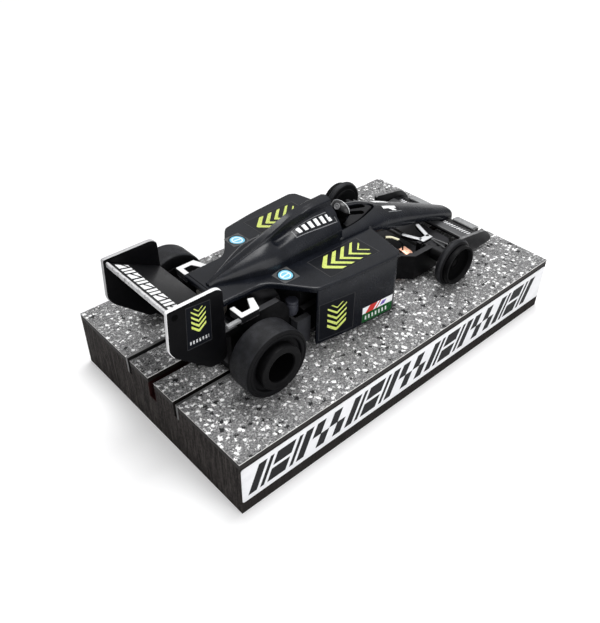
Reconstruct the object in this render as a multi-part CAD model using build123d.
from build123d import *
import os

os.makedirs("parts", exist_ok=True)

# Small slot-racing formula car on its wooden display block.
# Millimetres, +X forward, +Y left, +Z up, z = 0 under the block.

# ---- display block -----------------------------------------------------------
block_len = 72.7
block_wid = 42.6
board_t = 9.5
laminate_t = 1.0
road_z = board_t + laminate_t
slot_w = 1.6
slot_depth = 3.8
groove_in = 5.8
groove_w = 1.2
groove_depth = 3.0
rail_t = 0.45

# ---- wheels ------------------------------------------------------------------
rear_axle_x = -23.86
rear_tyre_r = 5.61
rear_tyre_in = 10.5
rear_tyre_out = 14.75
rear_rim_r = 3.6
rear_bore_r = 2.6
rear_lip_out = 15.6
front_axle_x = 17.0
front_tyre_r = 4.3
front_tyre_in = 12.9
front_tyre_out = 14.45
front_rim_r = 3.0
front_flange_r = 3.6
front_dish_r = 3.15
front_lip_out = 15.4
axle_r = 0.6
axle_fit = 0.06
hub_r = 1.25
side_play = 0.15
tread_gap = 0.03
rear_z = road_z + rear_tyre_r + tread_gap
front_z = road_z + front_tyre_r + tread_gap

# ---- chassis -----------------------------------------------------------------
floor_z = road_z + 0.7
floor_t = 1.0
wall_t = 1.1
wall_top = 16.0
nose_box_half = 9.45
nose_box_x = (12.0, 18.5)
waist_half = 7.65
waist_front_x = 10.2
tail_box_half = 9.35
tail_box_x = (-15.4, -12.6)
cheek_in = 6.4
cheek_t = 1.1
cheek_x = (-26.6, -15.4)
cheek_top = 20.1
ledge_x = -27.5
ledge_top = 19.6
ledge_t = 1.0
bearing_r = 1.7
bearing_t = 0.5
tongue_x = 26.3
tongue_half = 7.4
can_r = 0.85
can_h = 2.6
can_inset = 2.6
arm_gap = 0.6
arm_z = (16.0, 16.6)
bracket_top = 21.4
bracket_over = 0.65
bracket_reach = 1.0

# ---- body --------------------------------------------------------------------
deck_z = 22.4
deck_t = 1.0
shell_t = 0.9
skirt_z = road_z + 0.9
lining_gap = 0.4
lining_over = 0.8
lining_top = deck_z + lining_over
helmet_r = 1.85
helmet_x = 2.6
helmet_over = 2.2
helmet_z = deck_z + helmet_over
cockpit_drop = 0.5
motor_under = 1.4
cover_front_x = -1.1
nose_base_x = 5.3

# ---- wings -------------------------------------------------------------------
rear_plate_out = 8.2
rear_plate_t = 0.6
rear_plate_top = 28.3
front_wing_z = 12.4
front_plate_out = 10.7
front_plate_t = 0.6
pylon_half = 0.8
stay_half = 0.8
stay_foot_half = 3.0


def ext_z(points, z0, z1):
    """Plan outline raised from z0 to z1."""
    face = make_face(Polyline(*[(x, y, z0) for x, y in points], close=True))
    return extrude(face, z1 - z0, dir=(0, 0, 1))


def ext_y(points, y0, y1):
    """Side outline (x, z) drawn out from y0 to y1."""
    face = make_face(Polyline(*[(x, y0, z) for x, z in points], close=True))
    return extrude(face, y1 - y0, dir=(0, 1, 0))


def span(x0, x1, y0, y1, z0, z1):
    """Plain block between two corners."""
    size = Box(x1 - x0, y1 - y0, z1 - z0)
    return size.moved(Location(((x0 + x1) / 2, (y0 + y1) / 2, (z0 + z1) / 2)))


def disc_y(x, z, r, y0, y1):
    """Cylinder along Y."""
    rod = Cylinder(r, y1 - y0, rotation=(90, 0, 0))
    return rod.moved(Location((x, (y0 + y1) / 2, z)))


def turned_y(profile, x, z):
    """Closed outline (radius, y) turned about the axle line."""
    pts = [(x + r, y, z) for r, y in profile]
    face = make_face(Polyline(*pts, close=True))
    return revolve(face, Axis((x, 0, z), (0, 1, 0)), 360)


def mirrored(points):
    """Half outline (x, y > 0) closed over to the other side."""
    return points + [(x, -y) for x, y in reversed(points) if y > 0]


def loft_x(stations):
    """Ruled skin through sections (x, half outline of (y, z))."""
    faces = []
    for x, half in stations:
        full = half + [(-y, z) for y, z in reversed(half) if y > 0]
        faces.append(make_face(Polyline(*[(x, y, z) for y, z in full], close=True)))
    return loft(faces, ruled=True)


def left_right(shape):
    """The left piece and its mirror image."""
    return shape, shape.mirror(Plane.XZ)


# ---- display block -----------------------------------------------------------
half_l = block_len / 2
half_w = block_wid / 2
groove_out = groove_in + groove_w

cuts = span(-half_l, half_l, -slot_w / 2, slot_w / 2, road_z - slot_depth, road_z)
for side in (1, -1):
    y0 = min(side * groove_in, side * groove_out)
    cuts += span(-half_l, half_l, y0, y0 + groove_w, road_z - groove_depth, road_z)
base_board = span(-half_l, half_l, -half_w, half_w, 0, board_t) - cuts
laminate_inner = span(-half_l, half_l, slot_w / 2, groove_in, board_t, road_z)
laminate_outer = span(-half_l, half_l, groove_out, half_w, board_t, road_z)
rail = span(-half_l, half_l, groove_out - rail_t, groove_out, road_z - groove_depth, road_z)

# ---- rear wheels and axle ----------------------------------------------------
rear_axle = disc_y(rear_axle_x, rear_z, axle_r, -rear_tyre_in - 2.0, rear_tyre_in + 2.0)
rear_rim_profile = [
    (axle_r, rear_tyre_in - 0.3),
    (rear_rim_r, rear_tyre_in - 0.3),
    (rear_rim_r, rear_lip_out),
    (rear_bore_r, rear_lip_out),
    (rear_bore_r, rear_tyre_in + 2.0),
    (axle_r, rear_tyre_in + 2.0),
]
rear_wheel = turned_y(rear_rim_profile, rear_axle_x, rear_z)
rear_tyre_profile = [
    (rear_rim_r, rear_tyre_in),
    (rear_tyre_r - 0.35, rear_tyre_in),
    (rear_tyre_r, rear_tyre_in + 0.35),
    (rear_tyre_r, rear_tyre_out - 0.75),
    (rear_tyre_r - 0.2, rear_tyre_out - 0.3),
    (rear_tyre_r - 0.6, rear_tyre_out),
    (rear_tyre_r - 1.1, rear_tyre_out),
    (rear_tyre_r - 1.3, rear_tyre_out - 0.5),
    (rear_rim_r, rear_tyre_out - 0.5),
]
rear_tyre = turned_y(rear_tyre_profile, rear_axle_x, rear_z)

# ---- front wheels and axle ---------------------------------------------------
front_axle = disc_y(front_axle_x, front_z, axle_r, -front_tyre_in - 1.2, front_tyre_in + 1.2)
front_rim_profile = [
    (axle_r, front_tyre_in - 0.2),
    (front_rim_r, front_tyre_in - 0.2),
    (front_rim_r, front_tyre_out - 0.1),
    (front_flange_r, front_tyre_out + 0.15),
    (front_flange_r, front_lip_out),
    (front_dish_r, front_lip_out),
    (front_dish_r - 0.5, front_tyre_in + 1.2),
    (axle_r, front_tyre_in + 1.2),
]
front_wheel = turned_y(front_rim_profile, front_axle_x, front_z)
front_tyre_profile = [
    (front_rim_r, front_tyre_in),
    (front_tyre_r - 0.5, front_tyre_in),
    (front_tyre_r - 0.15, front_tyre_in + 0.35),
    (front_tyre_r, front_tyre_in + 0.75),
    (front_tyre_r - 0.1, front_tyre_out - 0.45),
    (front_tyre_r - 0.65, front_tyre_out - 0.1),
    (front_rim_r, front_tyre_out - 0.1),
]
front_tyre = turned_y(front_tyre_profile, front_axle_x, front_z)

# ---- chassis tub -------------------------------------------------------------
plan = mirrored([
    (nose_box_x[1], nose_box_half),
    (nose_box_x[0], nose_box_half),
    (waist_front_x, waist_half),
    (tail_box_x[1], waist_half),
    (tail_box_x[1], tail_box_half),
    (tail_box_x[0], tail_box_half),
])
plan_inner = mirrored([
    (nose_box_x[1] + 1, nose_box_half - wall_t),
    (nose_box_x[0] + wall_t * 0.4, nose_box_half - wall_t),
    (waist_front_x + wall_t * 0.4, waist_half - wall_t),
    (tail_box_x[1], waist_half - wall_t),
    (tail_box_x[1], tail_box_half - wall_t),
    (tail_box_x[0] + wall_t * 0.5, tail_box_half - wall_t),
])
floor_top = floor_z + floor_t
tub = ext_z(plan, floor_z, wall_top) - ext_z(plan_inner, floor_top, wall_top)
cheek_out = cheek_in + cheek_t
cheek_outline = [
    (cheek_x[1], floor_z),
    (cheek_x[1], cheek_top - 2.5),
    (cheek_x[1] - 1.0, cheek_top - 0.8),
    (cheek_x[1] - 1.9, cheek_top),
    (-25.0, cheek_top),
    (-25.3, ledge_top),
    (ledge_x, ledge_top - 0.1),
    (ledge_x, ledge_top - ledge_t),
    (cheek_x[0], ledge_top - ledge_t - 0.3),
    (cheek_x[0], floor_z),
]
cheek = ext_y(cheek_outline, cheek_in, cheek_out)
bearing = disc_y(rear_axle_x, rear_z, bearing_r, cheek_out, cheek_out + bearing_t)
boss = disc_y(front_axle_x, front_z, hub_r, nose_box_half - wall_t, front_tyre_in - 0.2 - side_play)
tail_floor = span(cheek_x[0], cheek_x[1], -cheek_out, cheek_out, floor_z, floor_top)
tongue = ext_z(mirrored([
    (tongue_x, tongue_half - 1.6),
    (tongue_x - 1.2, tongue_half - 0.4),
    (nose_box_x[1] + 1.5, tongue_half),
    (nose_box_x[1], nose_box_half - wall_t),
]), floor_z, floor_top)
chassis = tub + tail_floor + tongue
for one in left_right(cheek):
    chassis += one
for one in left_right(bearing):
    chassis += one
for one in left_right(boss):
    chassis += one
front_hole = disc_y(front_axle_x, front_z, axle_r + axle_fit, -14, 14)
rear_hole = disc_y(rear_axle_x, rear_z, axle_r + axle_fit, -9, 9)
chassis = chassis - front_hole - rear_hole

# ---- crown gear between the cheeks -------------------------------------------
gear_r = 3.6
gear_y = (1.6, 3.4)
tooth_n = 18
tooth_h = 0.6
tooth_len = 1.0
gullet_w = 0.5
crown_gear = disc_y(rear_axle_x, rear_z, gear_r, *gear_y) - disc_y(rear_axle_x, rear_z, axle_r, 0, 5)
gullet = Box(gullet_w, tooth_h * 2, tooth_len * 2).moved(Location((0, gear_y[1], gear_r)))
gear_place = Location((rear_axle_x, 0, rear_z))
for tooth in range(tooth_n):
    turn = Location((0, 0, 0), (0, 360 * tooth / tooth_n, 0))
    crown_gear -= gullet.moved(gear_place * turn)

# ---- gear case between the cheeks, damper cans on the tub's rear corners ------
case_x = (-19.6, cheek_x[1] - 0.2)
case_half = cheek_in - 0.2
case_outline = [
    (case_half, floor_top),
    (case_half, cheek_top - 2.5),
    (case_half - 0.8, cheek_top - 0.9),
    (case_half - 2.2, cheek_top - 0.2),
]
case_full = case_outline + [(-y, z) for y, z in reversed(case_outline)]
case_face = make_face(Polyline(*[(case_x[0], y, z) for y, z in case_full], close=True))
gear_case = extrude(case_face, case_x[1] - case_x[0], dir=(1, 0, 0))
can_x = tail_box_x[0] + can_r + 0.15
can_y = tail_box_half - can_inset
damper_can = Cylinder(can_r, can_h).moved(Location((can_x, can_y, wall_top + can_h / 2)))

# ---- motor block -------------------------------------------------------------
motor_x = (-11.5, 2.5)
motor_top = deck_z - deck_t - motor_under
motor_block = span(motor_x[0], motor_x[1], -5.6, 5.6, floor_top, motor_top)

# ---- pick-up shoes -----------------------------------------------------------
shoe_strip = span(2.0, 12.6, groove_out - rail_t - 0.5, groove_out, road_z, floor_z)
shoe_riser = span(11.9, 12.6, groove_out - rail_t - 0.5, groove_out, road_z, 14.6)
shoe_tab = span(10.9, 12.6, groove_out - rail_t - 0.5, groove_out, 14.1, 14.6)
pickup_shoe = shoe_strip + shoe_riser + shoe_tab
window = span(11.7, 12.8, groove_out - rail_t - 0.7, groove_out + 0.2, floor_z, floor_top)
for one in left_right(window):
    chassis -= one

# ---- guide pin ---------------------------------------------------------------
guide_x = 7.5
guide_pin = Cylinder(0.6, 3.4).moved(Location((guide_x, 0, floor_z - 1.7)))

# ---- side pods and deck ------------------------------------------------------
pod_plan = mirrored([
    (nose_base_x, 4.6),
    (3.6, 12.4),
    (2.5, 13.1),
    (-7.0, 12.3),
    (-12.9, 11.3),
    (-13.6, 10.7),
    (-17.6, 5.5),
    (-18.6, 4.9),
    (-25.9, 4.7),
])
deck = ext_z(pod_plan, deck_z - deck_t, deck_z)
skirt_outer = [(5.0, 8.1), (3.6, 12.4), (2.5, 13.1), (-7.0, 12.3), (-13.1, 11.25)]
skirt_inner = [
    (-13.1, 11.25 - shell_t),
    (-7.0, 12.3 - shell_t),
    (2.1, 13.1 - shell_t),
    (2.9, 11.7),
    (4.1, 8.1),
]
skirt = ext_z(skirt_outer + skirt_inner, skirt_z, deck_z - deck_t)
side_pods = deck
for one in left_right(skirt):
    side_pods += one

# ---- engine cover with air box -----------------------------------------------
# columns: x, then half width and height over the deck of the foot, side, shoulder,
# hip top, valley beside the spine, spine edge, and the height of the spine's middle
cover_table = [
    (cover_front_x, 4.15, 0.0, 4.1, 1.1, 3.7, 2.4, 2.7, 3.8, 1.5, 4.75, 1.15, 6.0, 6.5),
    (-4.5, 4.12, 0.0, 4.05, 1.1, 3.65, 2.4, 2.7, 3.7, 1.45, 4.65, 1.05, 5.95, 6.4),
    (-8.0, 4.0, 0.0, 3.95, 1.05, 3.6, 2.25, 2.7, 3.35, 1.4, 4.2, 0.95, 5.7, 5.75),
    (-10.5, 3.97, 0.0, 3.92, 1.0, 3.55, 2.0, 2.6, 2.7, 1.4, 3.15, 0.83, 5.0, 4.85),
    (-12.8, 3.95, 0.0, 3.9, 0.95, 3.5, 1.9, 2.6, 2.7, 1.42, 3.3, 0.82, 4.25, 4.0),
    (-16.0, 3.6, 0.0, 3.55, 0.8, 3.25, 1.7, 2.4, 2.55, 1.5, 2.98, 0.75, 3.18, 2.93),
    (-20.0, 2.15, 0.0, 2.12, 0.55, 1.92, 1.1, 1.5, 1.58, 1.05, 1.82, 0.59, 1.94, 1.7),
    (-24.8, 0.5, 0.0, 0.49, 0.1, 0.45, 0.2, 0.4, 0.3, 0.35, 0.36, 0.3, 0.4, 0.3),
]
cover_stations = []
for row in cover_table:
    half = [(row[i], deck_z + row[i + 1]) for i in range(1, 13, 2)]
    half.append((0, deck_z + row[13]))
    cover_stations.append((row[0], half))
engine_cover = loft_x(cover_stations)
intake_table = [(1.9, 3.0), (1.3, 4.5), (0.95, 5.7), (0.5, 6.0)]
intake = [(y, deck_z + z) for y, z in intake_table]
engine_cover -= loft_x([(cover_front_x + 0.1, intake), (cover_front_x - 1.6, intake)])

# ---- nose and cockpit sides --------------------------------------------------
# columns: x, half width, then the heights of the side edge, top and underside,
# each as a share of the way from the front wing's underside to the deck
nose_shares = [
    (cover_front_x, 4.35, 1.0, 1.12, 1.0),
    (nose_base_x, 4.6, 1.0, 1.12, 1.0),
    (nose_base_x + 0.05, 4.6, 0.89, 1.12, 0.83),
    (8.0, 4.45, 0.835, 1.11, 0.76),
    (12.0, 3.95, 0.71, 0.98, 0.63),
    (19.0, 3.1, 0.5, 0.71, 0.42),
    (25.0, 2.6, 0.32, 0.47, 0.22),
    (30.0, 2.1, 0.14, 0.27, 0.02),
    (32.3, 1.75, 0.04, 0.16, -0.05),
    (33.3, 1.1, -0.01, 0.08, -0.07),
]
nose_rise = deck_z - front_wing_z
nose_table = []
for x, w, side, crest, under in nose_shares:
    nose_table.append((x, w, *[front_wing_z + nose_rise * share for share in (side, crest, under)]))


def nose_half(w, zs, zt, zb):
    """Half section from the underside round to the top."""
    h = zt - zs
    return [(0.7 * w, zb), (w, zs), (0.97 * w, zs + 0.4 * h), (0.78 * w, zs + 0.85 * h), (0.5 * w, zt)]


tub_sides = []
for x, w, zs, zt, zb in nose_table[:2]:
    tub_sides.append((x, [(w, zs), (0.93 * w, zs + 0.4), (0.8 * w, zt), (0.5 * w, zt)]))
nose_back = loft_x(tub_sides)
nose_front = loft_x([(x, nose_half(w, zs, zt, zb)) for x, w, zs, zt, zb in nose_table[2:]])
nose_front = nose_front.moved(Location((-0.05, 0, 0)))
opening_tip = (9.4, 0.3)
opening_plan = mirrored([
    opening_tip,
    (7.8, 1.7),
    (6.0, 2.5),
    (4.0, 2.95),
    (cover_front_x - 0.5, 3.1),
])
cockpit_floor = deck_z - cockpit_drop
nose = (nose_back + nose_front) - ext_z(opening_plan, cockpit_floor, deck_z + 3.0)

# ---- driver and cockpit lining -----------------------------------------------
seat_half = 2.85
seat_plan = mirrored([
    (5.2, seat_half - 0.25),
    (2.0, seat_half),
    (cover_front_x + 0.2, seat_half),
])
seat = ext_z(seat_plan, deck_z, deck_z + 0.3)
lining_plan = mirrored([
    (opening_tip[0] - lining_gap * 2.5, opening_tip[1]),
    (7.6, 1.7 - lining_gap),
    (5.9, 2.5 - lining_gap),
    (3.9, 2.95 - lining_gap),
    (2.4, 3.05 - lining_gap),
])
hollow_plan = mirrored([(7.6, 0.3), (6.8, 0.85), (5.6, 1.2), (3.2, 1.2)])
lining = ext_z(lining_plan, deck_z, lining_top) - ext_z(hollow_plan, deck_z, lining_top)
spine_bar = span(3.0, 8.0, -0.25, 0.25, lining_top - 0.3, lining_top + 0.35)
# columns: share of the helmet's radius, height over its middle as a share of it
helmet_table = [(0.62, -1.0), (0.96, -0.4), (0.96, 0.35), (0.62, 0.8), (0.2, 0.97)]
helmet_half = [(helmet_r * wide, 0, helmet_z + helmet_r * high) for wide, high in helmet_table]
helmet_half = [(0, 0, helmet_half[0][2])] + helmet_half + [(0, 0, helmet_half[-1][2])]
helmet = revolve(make_face(Polyline(*helmet_half, close=True)), Axis.Z, 360)
helmet = helmet.moved(Location((helmet_x, 0, 0)))
driver = seat + lining + spine_bar + helmet

# ---- front wing --------------------------------------------------------------
front_wing_half = front_plate_out - front_plate_t
wing_section = [
    (26.6, front_wing_z),
    (26.6, front_wing_z + 0.8),
    (28.2, front_wing_z + 1.0),
    (28.5, front_wing_z + 0.75),
    (31.3, front_wing_z + 0.5),
    (31.3, front_wing_z - 0.2),
]
front_wing = ext_y(wing_section, -front_wing_half, front_wing_half)
pylon = span(28.6, 31.0, -pylon_half, pylon_half, front_wing_z + 0.4, front_wing_z + 1.8)
front_wing += pylon
front_wing -= nose
flap_section = [
    (30.6, front_wing_z + 0.5),
    (30.6, front_wing_z + 1.1),
    (32.4, front_wing_z + 0.9),
    (32.4, front_wing_z + 0.3),
]
front_flap = ext_y(flap_section, 3.2, 8.0) - front_wing
plate_outline = [
    (23.2, 15.5),
    (30.7, 14.3),
    (32.1, 13.2),
    (33.3, 11.7),
    (32.8, 11.1),
    (24.2, 11.1),
    (23.2, 12.0),
]
front_plate = ext_y(plate_outline, front_wing_half, front_plate_out)

# ---- front suspension arms ---------------------------------------------------
def bar_xy(x0, y0, x1, y1, width, z0, z1):
    """Flat bar between two plan points."""
    length = ((x1 - x0) ** 2 + (y1 - y0) ** 2) ** 0.5
    ux = (x1 - x0) / length * width / 2
    uy = (y1 - y0) / length * width / 2
    return ext_z([(x0 - uy, y0 + ux), (x1 - uy, y1 + ux), (x1 + uy, y1 - ux), (x0 + uy, y0 - ux)], z0, z1)


arm_out = nose_box_half - wall_t - arm_gap
arm_in = arm_out - 1.15
arm_apex = ext_z([(15.9, arm_in), (15.9, arm_out), (18.5, arm_out), (18.5, arm_in)], *arm_z)
arm_front = bar_xy(17.9, arm_out - 0.55, 19.6, arm_out - 4.65, 0.75, *arm_z)
arm_rear = bar_xy(16.3, arm_out - 0.65, 14.9, arm_out - 4.15, 0.75, *arm_z)
arm_post = span(15.3, 16.1, arm_out - 1.05, arm_out - 0.15, floor_top, arm_z[1])
link_in = front_tyre_in - 2.0
link_z = (arm_z[0], arm_z[0] + 0.3)
link_front = bar_xy(18.4, arm_out - 0.4, 19.0, link_in, 0.3, *link_z)
link_rear = bar_xy(18.2, arm_out - 0.3, 17.7, link_in + 0.3, 0.3, *link_z)
front_arms = arm_apex + arm_front + arm_rear + arm_post + link_front + link_rear

# ---- rear suspension brackets ------------------------------------------------
bracket_out = cheek_out + bracket_over
bracket_in = cheek_in - bracket_reach
bracket = span(-25.0, -21.7, cheek_out - 0.3, bracket_out, cheek_top, bracket_top)
bracket += span(-25.0, -24.3, bracket_in, bracket_out, cheek_top, bracket_top)
bracket += bar_xy(-22.1, cheek_out + 0.3, -21.2, bracket_in, 0.9, cheek_top, bracket_top)

# ---- rear wing ---------------------------------------------------------------
rear_plate_outline = [
    (-36.75, rear_plate_top),
    (-28.7, rear_plate_top),
    (-27.9, 27.6),
    (-27.8, 16.0),
    (-28.6, 15.3),
    (-30.7, 15.3),
    (-36.6, 20.7),
    (-37.1, 21.9),
]
rear_plate_in = rear_plate_out - rear_plate_t
rear_plate = ext_y(rear_plate_outline, rear_plate_in, rear_plate_out)
rear_section = [(-28.0, 23.5), (-27.9, 23.1), (-28.4, 22.9), (-36.3, 26.9), (-36.3, 27.6), (-36.0, 27.75)]
rear_wing = ext_y(rear_section, -rear_plate_in, rear_plate_in)
stay_outline = [
    (-27.2, floor_z),
    (-27.2, 19.0),
    (-28.6, 23.2),
    (-31.5, 24.8),
    (-31.5, 22.5),
    (-29.2, 17.0),
    (-29.2, floor_z),
]
stay = ext_y(stay_outline, -stay_half, stay_half) - rear_wing
stay_foot = span(-29.2, cheek_x[0], -stay_foot_half, stay_foot_half, floor_z, floor_top)
wing_stay = stay + stay_foot

# ---- write the pieces --------------------------------------------------------
single = {
    "base_board": base_board,
    "chassis": chassis,
    "motor_block": motor_block,
    "guide_pin": guide_pin,
    "side_pods": side_pods,
    "engine_cover": engine_cover,
    "nose": nose,
    "driver": driver,
    "front_wing": front_wing,
    "rear_wing": rear_wing,
    "wing_stay": wing_stay,
    "front_axle": front_axle,
    "rear_axle": rear_axle,
    "crown_gear": crown_gear,
    "gear_case": gear_case,
}
paired = {
    "laminate_inner": laminate_inner,
    "laminate_outer": laminate_outer,
    "rail": rail,
    "pickup_shoe": pickup_shoe,
    "front_flap": front_flap,
    "front_plate": front_plate,
    "front_arms": front_arms,
    "damper_can": damper_can,
    "rear_bracket": bracket,
    "rear_plate": rear_plate,
    "front_wheel": front_wheel,
    "front_tyre": front_tyre,
    "rear_wheel": rear_wheel,
    "rear_tyre": rear_tyre,
}
for name, shape in single.items():
    export_step(shape, f"parts/{name}.step")
for name, shape in paired.items():
    left, right = left_right(shape)
    export_step(left, f"parts/{name}_left.step")
    export_step(right, f"parts/{name}_right.step")
